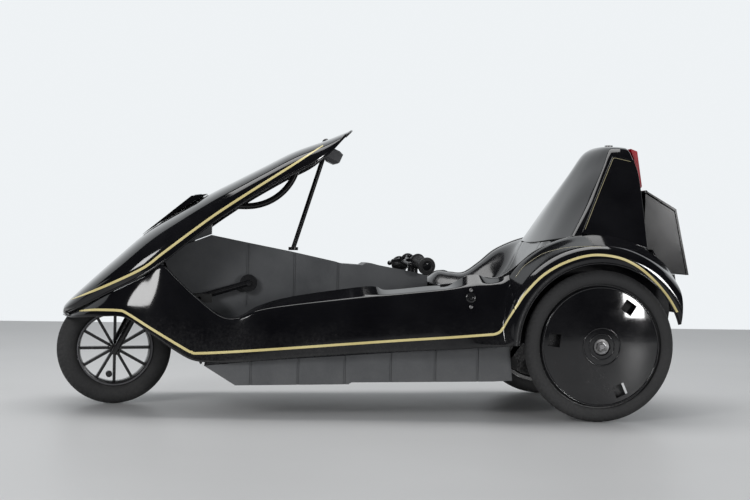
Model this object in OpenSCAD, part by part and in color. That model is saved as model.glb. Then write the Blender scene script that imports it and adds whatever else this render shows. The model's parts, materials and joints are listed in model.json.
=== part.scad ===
// One-seat three-wheeled pedal and battery car with a swept hood, open cockpit and tail box.
// Millimetres. +X is forward, +Y is the left side, +Z is up. The wheels stand on Z = 0.

/* [Body] */
// Half length of the whole vehicle, nose to middle and middle to tail
half_len = 885; // [860:1:900]
// Half width over the rear mudguards
half_wid = 372; // [350:1:390]
// Wall of the gloss black body panels
skin = 4; // [3:0.5:6]
// Wall of the grey lower shell and spine
tub_wall = 5; // [4:0.5:8]
// Half width of the grey lower shell
tub_half = 288; // [260:1:300]
// Half width of the central spine
spine_half = 68; // [55:1:80]
// Half width over the rims beside the seat
rim_y = 277; // [260:1:290]
// Half width of the tail box
box_half = 158; // [140:1:165]

/* [Wheels] */
// Rear axle position along the body
rear_x = -576; // [-590:1:-560]
// Rear tyre outer radius
rear_r = 203; // [195:1:210]
// Rear tyre section radius
rear_tube = 22; // [18:0.5:26]
// Rear wheel centre plane, distance from the centre plane
rear_y = 341; // [335:1:345]
// Front axle position along the body
front_x = 728; // [715:1:740]
// Front tyre outer radius
front_r = 159; // [150:1:165]
// Front tyre section radius
front_tube = 29; // [25:0.5:32]
// Number of front wheel spokes
front_spokes = 12; // [8:1:16]

/* [Steering] */
// Lean of the steering axis back from upright
rake = 27.2; // [20:0.1:35]
// Angle the fork stands turned to the left when parked
steer_parked = 10.6; // [0:0.1:20]
// Height of the handlebar above its pivot
bar_z = 424; // [415:1:435]
// Handlebar pivot position along the body
bar_x = -117; // [-130:1:-100]
// Length of each half of the handlebar
bar_len = 127; // [110:1:140]
// Angle each half droops outward
bar_droop = 9; // [0:1:15]

/* [Pedals] */
// Crank axle position along the body
crank_x = 356; // [340:1:370]
// Crank axle height
crank_z = 349; // [340:1:360]
// Crank arm length
crank_len = 140; // [120:1:160]
// Crank arm angle, negative below level and pointing forward
crank_ang = -17; // [-40:1:40]

/* [Hidden] */
$fn = 64;
eps = 0.01;
// Front hub height that rests the turned wheel on the ground
turn_x = -cos(rake) * sin(steer_parked);
turn_z = -sin(rake) * sin(steer_parked);
front_z = (front_r - front_tube) * sqrt(1 - turn_z * turn_z) + front_tube;
rear_z = rear_r;

// ---- general shapes ---------------------------------------------------

// Smooth row at place u along a table of rows
function row(T, u) =
  let(n = len(T), i = min(max(floor(u), 0), n - 2), t = u - i,
      b = T[i], c = T[i + 1],
      a = i > 0 ? T[i - 1] : 2 * b - c, d = i < n - 2 ? T[i + 2] : 2 * c - b)
  0.5 * (2 * b + (c - a) * t + (2 * a - 5 * b + 4 * c - d) * t * t
    + (3 * b - a - 3 * c + d) * t * t * t);

function unit(v) = v / max(norm(v), 1e-6);

// Polygon moved inward by t, corners mitred; points run anticlockwise
function inset(P, t) =
  let(n = len(P))
  [for (i = [0:n - 1])
    let(d1 = unit(P[i] - P[(i + n - 1) % n]), d2 = unit(P[(i + 1) % n] - P[i]),
        n1 = [-d1.y, d1.x], n2 = [-d2.y, d2.x])
    P[i] + (n1 + n2) * t / (1 + n1 * n2)];

// Surface normals of a grid of points
function normals(A) =
  let(n = len(A), m = len(A[0]))
  [for (i = [0:n - 1]) [for (j = [0:m - 1])
    unit(cross(A[min(i + 1, n - 1)][j] - A[max(i - 1, 0)][j],
               A[i][min(j + 1, m - 1)] - A[i][max(j - 1, 0)]))]];

// Closed sheet between a grid of points and its offset by t
module sheet(A, t) {
  n = len(A); m = len(A[0]); N = normals(A);
  B = [for (i = [0:n - 1]) [for (j = [0:m - 1]) A[i][j] + N[i][j] * t]];
  k = n * m;
  function o(i, j) = i * m + j;
  function q(i, j) = k + i * m + j;
  faces = concat(
    [for (i = [0:n - 2]) for (j = [0:m - 2]) each
      [[o(i, j), o(i, j + 1), o(i + 1, j + 1)], [o(i, j), o(i + 1, j + 1), o(i + 1, j)]]],
    [for (i = [0:n - 2]) for (j = [0:m - 2]) each
      [[q(i, j), q(i + 1, j + 1), q(i, j + 1)], [q(i, j), q(i + 1, j), q(i + 1, j + 1)]]],
    [for (i = [0:n - 2]) each
      [[o(i, 0), o(i + 1, 0), q(i + 1, 0)], [o(i, 0), q(i + 1, 0), q(i, 0)],
       [o(i, m - 1), q(i + 1, m - 1), o(i + 1, m - 1)], [o(i, m - 1), q(i, m - 1), q(i + 1, m - 1)]]],
    [for (j = [0:m - 2]) each
      [[o(0, j), q(0, j), q(0, j + 1)], [o(0, j), q(0, j + 1), o(0, j + 1)],
       [o(n - 1, j), q(n - 1, j + 1), q(n - 1, j)], [o(n - 1, j), o(n - 1, j + 1), q(n - 1, j + 1)]]]);
  polyhedron(concat([for (r = A) each r], [for (r = B) each r]), faces, convexity = 8);
}

// Closed shell of thickness t round a stack of rings, with its top closed
module ring_shell(A, t) {
  n = len(A); m = len(A[0]);
  N = [for (i = [0:n - 1]) [for (j = [0:m - 1])
    unit(cross(A[min(i + 1, n - 1)][j] - A[max(i - 1, 0)][j], A[i][(j + 1) % m] - A[i][(j + m - 1) % m]))]];
  B = [for (i = [0:n - 1]) [for (j = [0:m - 1]) A[i][j] + N[i][j] * t]];
  k = n * m; top = A[n - 1];
  mid = (top[floor(m / 2)] + top[m - 1]) / 2;
  function o(i, j) = i * m + j % m;
  function q(i, j) = k + i * m + j % m;
  faces = concat(
    [for (i = [0:n - 2]) for (j = [0:m - 1]) each
      [[o(i, j), o(i, j + 1), o(i + 1, j + 1)], [o(i, j), o(i + 1, j + 1), o(i + 1, j)],
       [q(i, j), q(i + 1, j + 1), q(i, j + 1)], [q(i, j), q(i + 1, j), q(i + 1, j + 1)]]],
    [for (j = [0:m - 1]) each
      [[o(0, j), q(0, j), q(0, j + 1)], [o(0, j), q(0, j + 1), o(0, j + 1)],
       [o(n - 1, j), o(n - 1, j + 1), 2 * k], [q(n - 1, j + 1), q(n - 1, j), 2 * k + 1]]]);
  polyhedron(concat([for (r = A) each r], [for (r = B) each r], [mid + [0, 0, 0.5], mid - [0, 0, t]]), faces,
    convexity = 8);
}

// Side profile in X and Z pulled across the body between y0 and y1
module across(y0, y1) {
  translate([0, y1, 0]) rotate([90, 0, 0]) linear_extrude(y1 - y0) children();
}

// Round bar between two points
module bar(a, b, r) {
  d = b - a; l = norm(d);
  translate(a) rotate([0, acos(d.z / l), atan2(d.y, d.x)]) cylinder(h = l, r = r);
}

// Disc shape on a cross axis
module on_y(c, y) { translate([c.x, y, c.y]) rotate([-90, 0, 0]) children(); }

// ---- hood --------------------------------------------------------------

// Hood rows: crown x, crown z, edge x, edge z, half width
HOOD = [
  [868, 266, 846, 262, 96], [856, 287, 815, 277, 150], [800, 341, 740, 317, 205],
  [722, 413, 662, 357, 234], [643, 483, 592, 403, 241], [560, 539, 527, 457, 234],
  [471, 594, 460, 512, 226], [395, 635, 401, 554, 219], [320, 675, 345, 592, 210],
  [235, 720, 253, 647, 196], [150, 753, 163, 696, 178], [72, 786, 96, 762, 150]];
function hood_pt(u, v) =
  let(h = row(HOOD, u), a = 90 * v, s = sin(abs(a)), c = cos(a),
      y = pow(s, 0.72), d = 1 - pow(max(c, 0), 0.72))
  [h[0] + (h[2] - h[0]) * d, sign(v) * h[4] * y, h[1] + (h[3] - h[1]) * d];
HOOD_GRID = [for (i = [0:2 * (len(HOOD) - 1)]) [for (j = [-10:10]) hood_pt(i / 2, j / 10)]];
module hood() {
  color("black") sheet(HOOD_GRID, skin);
}

// Cowl over the steering head, between the spine and the hood
module head_cowl() {
  color([0.3, 0.31, 0.32]) difference() {
    across(-62, 62) polygon([[461, 484], [598, 430], [632, 456], [560, 514], [461, 576]]);
    across(-62 + tub_wall, 62 - tub_wall)
      polygon([[466, 470], [600, 420], [626, 450], [558, 508], [466, 566]]);
  }
}

// Sloping toe board between the wheel well and the footwells
TOE = [[478, 140], [604, 424]];
module toe_board() {
  d = unit(TOE[1] - TOE[0]); l = norm(TOE[1] - TOE[0]);
  color([0.25, 0.26, 0.27])
    translate([TOE[0].x, 0, TOE[0].y]) rotate([0, 90 - atan2(d.y, d.x), 0])
      rotate([90, 0, 90]) linear_extrude(tub_wall)
        polygon([[-270, 0], [270, 0], [262, 110], [212, l], [64, l], [64, 262], [34, 262], [34, 150], [-34, 150],
          [-34, 262], [-64, 262], [-64, l], [-212, l], [-262, 110]]);
}

// Raised lamp panel on the hood
LAMP = [[652, 479], [519, 589], [484, 594], [474, 595.5], [519, 567.5], [560, 541.5], [643, 485.5]];
module lamp_panel() {
  color([0.04, 0.04, 0.05]) difference() {
    across(-75, 75) polygon(LAMP);
    across(-71, 71) polygon([[630, 493.5], [518, 586], [486, 590.5], [486, 570], [630, 470]]);
    across(-56, 56) polygon([[512, 583], [512, 600], [490, 600], [490, 583]]);
  }
}
module lamp_lens() {
  color([0.85, 0.9, 0.95]) across(-55, 55) polygon([[511, 586], [511, 591.5], [491, 594.5], [491, 589]]);
}

// Curved tube below the hood
bow_r = 9;
module hood_bow() {
  // Arc about a point above the cockpit, with a straight tail at the front
  color([0.05, 0.05, 0.05]) {
    translate([366, 0, 713]) rotate([90, 0, 0]) rotate([0, 0, 190])
      rotate_extrude(angle = 80) translate([148, 0]) circle(r = bow_r);
    bar([362, 0, 565], [414, 0, 565], bow_r + 0.3);
  }
}

// Brace from the spine to the hood
strut_top = [145, 0, 718];
strut_foot = [229, 0, 449];
module hood_strut() {
  color([0.05, 0.05, 0.05]) {
    bar(strut_foot, strut_top, 6.5);
    translate(strut_foot - [0, 0, 7]) cylinder(h = 9, r = 14);
    translate(strut_top) sphere(12);
  }
}

// Faceted mirror pod under the hood tip
module mirror_pod() {
  color([0.3, 0.3, 0.31])
    translate([127, 92, 707]) rotate([0, -24, 0]) hull() {
      translate([-22, -30, -10]) cube([44, 60, 24]);
      translate([-10, -18, -20]) cube([22, 36, 40]);
    }
}

// ---- body sides --------------------------------------------------------

// Side rows: x, top y, bottom y, shoulder z, bottom z, flange width, flange rise, lip width
SIDE = [
  [868, 0, 0, 256, 250, 2, 1, 4], [862, 52, 52, 256, 250, 2, 1, 4], [846, 96, 100, 255, 249, 3, 1, 6],
  [815, 150, 158, 269, 251, 5, 1, 8], [740, 205, 222, 312, 258, 6, 1, 8], [683, 227, 250, 341, 257, 6, 1, 8],
  [629, 238, 268, 368, 226, 6, 2, 8], [590, 242, 277, 396, 200, 8, 2, 8], [552, 250, 284, 366, 174, 10, 0, 8],
  [500, 260, 292, 318, 148, 12, 0, 8], [435, 276, 299, 268, 144, 14, 2, 9], [388, 284, 303, 262, 146, 18, 4, 12],
  [330, 290, 307, 284, 150, 34, 12, 16], [240, 298, 313, 299, 159, 46, 22, 22], [68, 308, 321, 320, 173, 50, 28, 30],
  [20, 311, 324, 326, 176, 50, 24, 33], [-10, 313, 326, 330, 178, 50, 12, 35], [-120, 320, 332, 342, 184, 50, 12, 41],
  [-175, 323, 337, 349, 187, 50, 10, 46], [-215, 326, 341, 354, 190, 50, 26, 50], [-250, 325, 347, 358, 193, 46, 29, 56],
  [-281, 320, 357, 362, 196, 40, 16, 66], [-314, 308, 369, 366, 199, 28, 14, 78], [-334, 298, 371, 374, 203, 17, 14, 80]];
// Section across the side, v from the lower lip (0) to the flange edge (1)
function side_pt(u, v, s) =
  let(r = row(SIDE, u), lip = max(0.1 - v, 0) / 0.1, k = min(max(v - 0.1, 0) / 0.7, 1), f = max(v - 0.8, 0) / 0.2,
      y = r[2] + (r[1] - r[2]) * k + 5 * sin(180 * k) * min(r[1] / 100, 1), z = r[4] + (r[3] - r[4]) * k)
  [r[0] - 2 * f, s * max(y - r[5] * f - r[7] * lip, 0), z + r[6] * f + 3 * lip];
side_n = 2 * (len(SIDE) - 1);
SIDE_GRID = concat(
  [for (i = [side_n:-1:1]) [for (j = [0:10]) side_pt(i / 2, j / 10, 1)]],
  [for (i = [1:side_n]) [for (j = [0:10]) side_pt(i / 2, j / 10, -1)]]);
module body_shell() {
  color("black") sheet(SIDE_GRID, skin);
}

// ---- lower shell and spine ---------------------------------------------

TUB = [[472, 136], [390, 85], [90, 90], [82, 95], [-298, 100], [-353, 103], [-344, 196], [-41, 176], [353, 148]];
TUB_TOP = [[472, 136], [353, 148], [-41, 176], [-344, 196], [-344, 230], [472, 230]];
// Places of the joints across the grey shell
tub_joints = [350, 225, 101, -22, -142, -257];
module lower_shell() {
  color([0.25, 0.26, 0.27]) difference() {
    across(-tub_half, tub_half) polygon([for (i = [len(TUB) - 1:-1:0]) TUB[i]]);
    across(-tub_half + tub_wall, tub_half - tub_wall)
      polygon([[440, 145], [388, 91], [90, 96], [82, 101], [-298, 106], [-347, 109], [-338, 260], [440, 260]]);
    for (x = tub_joints) for (s = [-1, 1])
      translate([x - 3.5, s * tub_half - 3, 60]) cube([7, 6, 160]);
  }
}

SPINE_TOP = [[461, 481], [367, 463], [238, 439], [114, 413], [94, 407], [36, 404], [26, 410], [12, 410],
  [-13, 404], [-83, 392], [-150, 378]];
SPINE = concat([[-150, 112], [402, 112], [436, 147], [474, 147], [596, 422], [594, 429]], SPINE_TOP);
module spine_cover() {
  color([0.3, 0.31, 0.32]) difference() {
    across(-spine_half, spine_half) polygon(SPINE);
    across(-spine_half + tub_wall, spine_half - tub_wall)
      polygon(concat([[-160, 100], [395, 100], [430, 152], [464, 152], [602, 410]], [for (p = SPINE_TOP) p - [0, tub_wall]], [[-160, 372]]));
    for (x = [359, 228, 105]) for (s = [-1, 1])
      translate([x - 3.5, s * spine_half - 3, 285]) cube([7, 6, 220]);
    on_y([crank_x, crank_z], -100) cylinder(h = 200, r = 16.3);
    // Opening round the steering head
    translate([515, -30, 265]) cube([110, 60, 158]);
    translate([bar_x, 0, 340]) cylinder(h = 80, r = 15.3);
  }
}

// ---- seat, tower and tail ----------------------------------------------

// Seat rows: centre x, centre z, rim x, rim z
SEAT = [
  [-154, 360, -154, 358], [-176, 344, -195, 364], [-216, 328, -230, 383], [-270, 320, -270, 380],
  [-330, 326, -314, 380], [-385, 352, -361, 411], [-425, 400, -408, 450], [-450, 448, -462, 477],
  [-466, 479, -518, 496]];
function smooth(t) = t * t * (3 - 2 * t);
function seat_pt(u, v) =
  let(r = row(SEAT, u), k = smooth(min(max((abs(v) - 0.5) / 0.45, 0), 1)))
  [r[0] + (r[2] - r[0]) * k, v * (rim_y - 5.5), r[1] + (r[3] - r[1]) * k];
SEAT_GRID = [for (i = [0:2 * (len(SEAT) - 1)]) [for (j = [-10:10]) seat_pt(i / 2, j / 10)]];
module seat() {
  color([0.05, 0.05, 0.05]) sheet(SEAT_GRID, skin);
}

// Seat back tower, rows from the base up, points from the front middle round one side to the rear middle
TOWER = [
  [[-463, 0, 487], [-469, 104, 489], [-484, 184, 494], [-520, 274, 502], [-540, 272, 503],
    [-640, 270, 490], [-728, 264, 466], [-746, 204, 466], [-748, 0, 466]],
  [[-521, 0, 592], [-529, 78, 592], [-546, 144, 594], [-585, 212, 600], [-600, 214, 600],
    [-670, 212, 590], [-732, 208, 575], [-748, 162, 575], [-752, 0, 575]],
  [[-579, 0, 682], [-588, 58, 682], [-606, 112, 684], [-630, 166, 688], [-644, 167, 688],
    [-686, 166, 680], [-730, 164, 672], [-742, 124, 672], [-746, 0, 672]],
  [[-614, 0, 734], [-622, 52, 735], [-636, 100, 734], [-651, 138, 730], [-664, 138, 730],
    [-690, 138, 728], [-721, 134, 726], [-732, 100, 726], [-735, 0, 726]],
  [[-639.6, 0, 754], [-644.6, 46, 754], [-653.6, 86, 753], [-663.6, 116, 750], [-672, 116, 750],
    [-692, 116, 750], [-713.4, 112, 749], [-720.4, 82, 750], [-722.4, 0, 751]],
  [[-661.6, 0, 759], [-663.6, 32, 759], [-667.6, 58, 758], [-673.6, 78, 757], [-680, 78, 757],
    [-692, 78, 757], [-704.4, 76, 756], [-708.4, 52, 757], [-709.4, 0, 758]],
  [[-679.6, 0, 760], [-680.6, 10, 760], [-681.6, 16, 760], [-682.6, 20, 760], [-686, 20, 760],
    [-688, 20, 760], [-692.4, 20, 760], [-693.4, 12, 760], [-694.4, 0, 760]]];
// Same rows with the other side added, so that each runs from the rear round the front and back
function both(R) = concat([for (i = [len(R) - 2:-1:1]) [R[i].x, -R[i].y, R[i].z]], R);
module tower() {
  color("black") difference() {
    ring_shell([for (R = TOWER) both(R)], skin);
    translate([-692, 0, 700]) cylinder(h = 80, r = 7);
  }
}
// Raised panel on each side of the tower
FIN = [[[-664, 143.5, 722], [-690, 143, 720], [-722, 140, 716]], [[-640, 167.6, 687], [-686, 166, 680], [-730, 164, 672]],
  [[-612, 213.5, 600], [-670, 212, 590], [-732, 208, 575]], [[-551, 271.6, 503], [-640, 270, 490], [-728, 264, 466]]];
module fin(s) {
  rows = [for (R = FIN) [for (p = R) [p.x, s * (p.y + 1.5), p.z + 1]]];
  sheet(s > 0 ? rows : [for (R = rows) [R[2], R[1], R[0]]], 5);
}
module fin_left() { color("black") fin(1); }
module fin_right() { color("black") fin(-1); }

module mast_socket() {
  color([0.1, 0.1, 0.1]) translate([-692, 0, 716]) difference() {
    union() { cylinder(h = 50, r = 6); translate([0, 0, 45.5]) cylinder(h = 4.5, r = 12); }
    translate([0, 0, 3]) cylinder(h = 60, r = 4);
  }
}

module tail_lamp() {
  color([0.75, 0.02, 0.05]) across(-100, 100)
    polygon([[-728, 751], [-747, 744], [-763, 644], [-760, 639], [-751, 639], [-739.5, 716]]);
}

// Inner walls of the rear wheel housings
module well_plate(s) {
  across(s > 0 ? rim_y - 4 : -rim_y, s > 0 ? rim_y : -rim_y + 4) difference() {
    intersection() {
      translate([rear_x, rear_z]) circle(r = guard_rim - 5);
      polygon([[-342, 203], [-342, 520], [-740, 520], [-740, 464], [-777, 394], [-791, 300], [-786, 262], [-640, 262],
        [-612, 168], [-540, 168], [-512, 203]]);
    }
    translate([rear_x, rear_z]) circle(r = 14);
  }
}
module well_left() { color([0.05, 0.05, 0.05]) well_plate(1); }
module well_right() { color([0.05, 0.05, 0.05]) well_plate(-1); }
module rear_floor() {
  color([0.05, 0.05, 0.05]) translate([-784, 5 - rim_y, 286]) cube([424, 2 * rim_y - 10, 4]);
}

// Mudguard around the outer side of a rear wheel, radii about the axle
guard_lip = 222;
guard_face = 244;
guard_rim = 300;
guard_end = 164;
// Section: radius, distance from the centre plane
GUARD = [[guard_lip, half_wid - 7], [guard_lip, half_wid - 2], [guard_lip + 3, half_wid], [guard_face, half_wid],
  [258, half_wid - 4], [267, half_wid - 16], [guard_rim, rim_y], [guard_rim - 5, rim_y], [263, half_wid - 20],
  [255, half_wid - 9], [guard_face, half_wid - 5], [guard_lip + 5, half_wid - 5]];
// Front end of the mudguard, where the body side meets it
guard_front = -339;
module guard(s) {
  difference() {
    translate([rear_x, 0, rear_z]) rotate([90, 0, 0]) mirror([0, 0, s > 0 ? 1 : 0])
      rotate_extrude(angle = guard_end) polygon(GUARD);
    translate([guard_front, -400, 100]) cube([100, 800, 500]);
    across(-400, 400) polygon([[-745, 520], [-745, 470], [-782, 394], [-796, 300], [-790, 255], [-790, 200],
      [-900, 200], [-900, 520]]);
  }
}
module guard_left() { color("black") guard(1); }
module guard_right() { color("black") guard(-1); }

// Rear panel between the mudguards, below the tail box
BACK = [[-742, 464], [-782, 396], [-800, 300], [-796, 300], [-778, 395], [-738, 462]];
module back_panel() {
  color("black") across(-rim_y + 5, rim_y - 5) polygon([for (i = [5:-1:0]) BACK[i]]);
}

// Tail box with its hinged lid
module boot_box() {
  color([0.06, 0.06, 0.06]) difference() {
    across(-box_half, box_half) polygon([[-755, 621], [-754, 470], [-789, 396], [-half_len + 8, 396], [-840, 572]]);
    across(-box_half + skin, box_half - skin)
      polygon([[-759, 640], [-758, 469], [-792, 400], [-half_len - 10, 400], [-850, 640]]);
  }
}
// Hinge line of the lid
lid_hinge = [-757, 627];
module boot_lid() {
  color([0.04, 0.04, 0.04]) {
    across(-box_half - 3, box_half + 3)
      polygon([[-759, 628], [-845, 579], [-half_len, 393], [-half_len + 6, 393], [-841, 574], [-759, 624]]);
    on_y(lid_hinge, -box_half) cylinder(h = 2 * box_half, r = 4);
  }
}
module rear_skirt() {
  color([0.05, 0.05, 0.05]) across(-150, 150)
    polygon([[-800, 394], [-848, 394], [-866, 284], [-861, 284], [-844, 389], [-800, 389]]);
}
module key_lock() {
  color([0.5, 0.5, 0.52]) {
    on_y([-226, 329], 333) cylinder(h = 8, r = 10);
    on_y([-226, 303], 337) cylinder(h = 4, r = 4);
    on_y([-226, 347], 330) cylinder(h = 4, r = 4);
  }
}

// ---- chassis -------------------------------------------------------------

axis_dir = [-sin(rake), 0, cos(rake)];
hub = [front_x, 0, front_z];
module steer_frame() { translate(hub) rotate([0, -rake, 0]) rotate([0, 0, steer_parked]) children(); }
module head_tube() {
  color([0.1, 0.1, 0.1]) difference() {
    union() {
      translate(hub) rotate([0, -rake, 0]) translate([0, 0, 205]) cylinder(h = 75, r = 21);
      across(-14, 14) polygon([[451, 285], [630, 342], [622, 376], [451, 320]]);
    }
    translate(hub) rotate([0, -rake, 0]) translate([0, 0, 190]) cylinder(h = 140, r = 14.3);
  }
}
module frame_tube() {
  color([0.1, 0.1, 0.1]) difference() {
    union() {
      across(-20, 20) polygon([[450, 280], [450, 320], [-150, 232], [rear_x - 28, 244], [rear_x - 28, 172],
        [rear_x + 28, 172], [rear_x + 40, 204], [-150, 192]]);
      translate([rear_x - 28, -60, 172]) cube([56, 120, 72]);
    }
    on_y([rear_x, rear_z], -100) cylinder(h = 200, r = 12);
  }
}
module rear_axle() {
  color([0.5, 0.5, 0.5]) on_y([rear_x, rear_z], -356) cylinder(h = 712, r = 10);
}
module motor() {
  color([0.1, 0.1, 0.1]) on_y([rear_x + 110, rear_z + 20], 80) cylinder(h = 110, r = 52);
}
module battery() {
  color([0.12, 0.12, 0.14]) translate([-338, -190, 112]) cube([180, 130, 180]);
}

// ---- front fork and wheel -------------------------------------------------

module fork() {
  color([0.08, 0.08, 0.08]) steer_frame() {
    translate([0, 0, 175]) cylinder(h = 110, r = 14);
    for (s = [-1, 1]) translate([0, s * 44, -12]) cylinder(h = 184, r = 9);
    translate([0, -50, 0]) rotate([-90, 0, 0]) cylinder(h = 100, r = 7);
    translate([-16, -56, 168]) cube([32, 112, 14]);
  }
}
module front_rim() {
  color([0.05, 0.05, 0.05]) steer_frame() rotate([0, rake, 0]) rotate([-90, 0, 0]) {
    difference() {
      union() {
        rotate_extrude() polygon([[98, -17], [105, -19], [105, 19], [98, 17], [95, 8], [95, -8]]);
        cylinder(h = 60, r = 17, center = true);
        for (i = [0:front_spokes - 1]) rotate(i * 360 / front_spokes)
          translate([15, -4, -6]) cube([84, 8, 12]);
      }
      cylinder(h = 80, r = 7.05, center = true);
    }
  }
}
module front_tyre() {
  color([0.02, 0.02, 0.02]) steer_frame() rotate([0, rake, 0]) rotate([-90, 0, 0])
    rotate_extrude() translate([front_r - front_tube, 0]) difference() {
      circle(r = front_tube);
      translate([-40, -60]) square([15.5, 120]);
    }
}

// ---- rear wheels ------------------------------------------------------------

module rear_tyre(s) {
  on_y([rear_x, rear_z], s * rear_y) rotate_extrude()
    translate([rear_r - rear_tube, 0]) difference() {
      circle(r = rear_tube);
      translate([-40, -60]) square([25, 120]);
    }
}
module rear_rim(s) {
  on_y([rear_x, rear_z], s * rear_y) mirror([0, 0, s > 0 ? 0 : 1]) difference() {
    union() {
      rotate(24) rotate_extrude() polygon([[156, -16], [165.5, -17], [165.5, 10], [156, 9], [151, 6], [151, -8]]);
      translate([0, 0, -26]) rotate(24) cylinder(h = 44, r = 24);
      translate([0, 0, -14]) rotate(24) cylinder(h = 13, r = 42);
      for (i = [0:5]) rotate(i * 60 - 6) translate([28, -18, -12]) cube([130, 36, 9]);
    }
    translate([0, 0, -60]) rotate(24) cylinder(h = 120, r = 10.05);
  }
}
module disc_cover(s) {
  on_y([rear_x, rear_z], s * rear_y) mirror([0, 0, s > 0 ? 0 : 1]) difference() {
    rotate_extrude() polygon([[26, 22], [40, 24], [90, 23], [140, 18], [160, 12], [161, 17.5], [140, 21], [90, 26],
      [42, 27], [26, 25]]);
    for (a = [7, 125, 245]) rotate(-a) translate([112, -17, 0]) cube([32, 34, 40]);
  }
}
module hub_cap(s) {
  on_y([rear_x, rear_z], s * rear_y) mirror([0, 0, s > 0 ? 0 : 1]) difference() {
    union() { translate([0, 0, 18]) cylinder(h = 5, r = 26); translate([0, 0, 23]) cylinder(h = 5, r = 21); }
    translate([0, 0, 0]) cylinder(h = 40, r = 12);
  }
}
module rear_tyre_left() { color([0.02, 0.02, 0.02]) rear_tyre(1); }
module rear_tyre_right() { color([0.02, 0.02, 0.02]) rear_tyre(-1); }
module rear_rim_left() { color([0.1, 0.1, 0.1]) rear_rim(1); }
module rear_rim_right() { color([0.1, 0.1, 0.1]) rear_rim(-1); }
module disc_cover_left() { color("black") disc_cover(1); }
module disc_cover_right() { color("black") disc_cover(-1); }
module hub_cap_left() { color([0.6, 0.6, 0.6]) hub_cap(1); }
module hub_cap_right() { color([0.6, 0.6, 0.6]) hub_cap(-1); }

// ---- pedals and handlebar ---------------------------------------------------

pedal_dx = crank_len * cos(crank_ang);
pedal_dz = crank_len * sin(crank_ang);
module crankset() {
  color([0.06, 0.06, 0.06]) {
    on_y([crank_x, crank_z], -84) cylinder(h = 168, r = 16);
    for (s = [-1, 1]) {
      on_y([crank_x, crank_z], s > 0 ? 76 : -90) cylinder(h = 14, r = 24);
      difference() {
        bar([crank_x, s * 86, crank_z], [crank_x + s * pedal_dx, s * 86, crank_z + s * pedal_dz], 9);
        on_y([crank_x + s * pedal_dx, crank_z + s * pedal_dz], -200) cylinder(h = 400, r = 4);
      }
      on_y([crank_x + s * pedal_dx, crank_z + s * pedal_dz], s > 0 ? 80 : -170) cylinder(h = 90, r = 5);
    }
  }
}
module pedal(s) {
  translate([crank_x + s * pedal_dx, s * 138, crank_z + s * pedal_dz]) difference() {
    translate([-34, -38, -11]) cube([68, 76, 22]);
    rotate([90, 0, 0]) cylinder(h = 120, r = 5.05, center = true);
    for (k = [-1, 1]) translate([k * 20 - 8, -30, -20]) cube([16, 60, 40]);
  }
}
module pedal_left() { color([0.05, 0.05, 0.05]) pedal(1); }
module pedal_right() { color([0.05, 0.05, 0.05]) pedal(-1); }

// Handlebar frame at its pivot, turned as it is parked
module bar_frame() { translate([bar_x, 0, bar_z]) rotate([0, 0, steer_parked]) children(); }
// Frame along one half of the bar, Z pointing out of its end and X forward
module half_frame(s) { bar_frame() rotate([-s * (90 + bar_droop), 0, 0]) children(); }
module handlebar() {
  color([0.06, 0.06, 0.06]) {
    bar_frame() {
      translate([0, 0, -80]) cylinder(h = 74, r = 15);
      translate([0, 0, -12]) cylinder(h = 22, r = 20);
    }
    for (s = [-1, 1]) half_frame(s) translate([0, 0, 12]) cylinder(h = bar_len - 14, r = 10);
  }
}
module grip(s) {
  half_frame(s) difference() {
    union() {
      translate([0, 0, 46]) cylinder(h = bar_len - 50, r = 18);
      translate([0, 0, 42]) cylinder(h = 5, r = 22);
      translate([0, 0, bar_len - 7]) cylinder(h = 8, r = 25);
    }
    translate([0, 0, 20]) cylinder(h = bar_len - 21.5, r = 10.05);
  }
}
// Brake lever and its clamp beside a grip
module control(s) {
  half_frame(s) {
    difference() {
      union() {
        translate([0, 0, 24]) cylinder(h = 16, r = 16);
        translate([10, -7, 24]) cube([22, 14, 16]);
      }
      translate([0, 0, 20]) cylinder(h = 30, r = 10.05);
    }
    bar([30, 0, 32], [44, 0, 52], 5);
    bar([44, 0, 52], [40, 0, 96], 4);
    translate([44, 0, 52]) sphere(5.5);
    translate([40, 0, 96]) sphere(7);
  }
}
module grip_left() { color([0.05, 0.05, 0.05]) grip(1); }
module grip_right() { color([0.05, 0.05, 0.05]) grip(-1); }
module control_left() { color([0.05, 0.05, 0.05]) control(1); }
module control_right() { color([0.05, 0.05, 0.05]) control(-1); }

hood();
head_cowl();
toe_board();
lamp_panel();
lamp_lens();
hood_bow();
hood_strut();
mirror_pod();
body_shell();
lower_shell();
spine_cover();
seat();
tower();
fin_left();
fin_right();
mast_socket();
tail_lamp();
well_left();
well_right();
rear_floor();
guard_left();
guard_right();
back_panel();
boot_box();
boot_lid();
rear_skirt();
key_lock();
head_tube();
frame_tube();
rear_axle();
motor();
battery();
fork();
front_rim();
front_tyre();
rear_tyre_left();
rear_tyre_right();
rear_rim_left();
rear_rim_right();
disc_cover_left();
disc_cover_right();
hub_cap_left();
hub_cap_right();
crankset();
pedal_left();
pedal_right();
handlebar();
grip_left();
grip_right();
control_left();
control_right();
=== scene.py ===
# %% [markdown]
# # One-seat three-wheeled car
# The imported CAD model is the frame: every piece below is in metres in its axes, +X forward, +Y left, +Z up.
# The curved body panels are rebuilt here as fine numpy surfaces over the same tables of sizes as the CAD solids,
# so they stay where the CAD says and only get smoother. The other CAD nodes keep their mesh and get a material.

# %% frame
import bpy
import json
import math
import numpy as np
from mathutils import Matrix, Vector


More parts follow.
